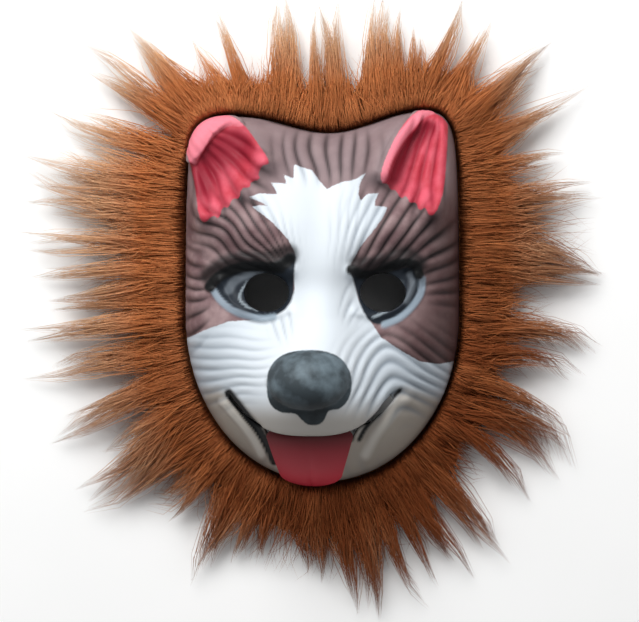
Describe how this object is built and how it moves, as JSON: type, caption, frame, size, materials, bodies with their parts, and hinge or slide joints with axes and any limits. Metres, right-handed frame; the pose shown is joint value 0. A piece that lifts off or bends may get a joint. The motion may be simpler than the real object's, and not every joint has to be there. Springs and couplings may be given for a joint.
{
  "type": "wolf mask",
  "caption": "Moulded wolf face mask with pricked ears, open eyes, hanging tongue and a wide ruff of long brown fur, lying face up on its flat edge.",
  "frame": {"origin": "centre of the whole mask's box, on the surface that the mask lies on", "axes": "+Z out of the face, +Y from the chin to the ears, +X to the viewer's right"},
  "size_m": [0.377, 0.3802, 0.1037],
  "materials": {
    "painted_shell": "moulded thin shell, airbrushed white, brown, pink and grey, matt",
    "red_tongue": "moulded soft plastic, painted red, satin",
    "brown_fur": "long-pile faux fur, brown with lighter tips"
  },
  "bodies": {
    "root": {"face_shell": "painted_shell", "tongue": "red_tongue", "fur_ruff": "brown_fur"}
  },
  "joints": []
}
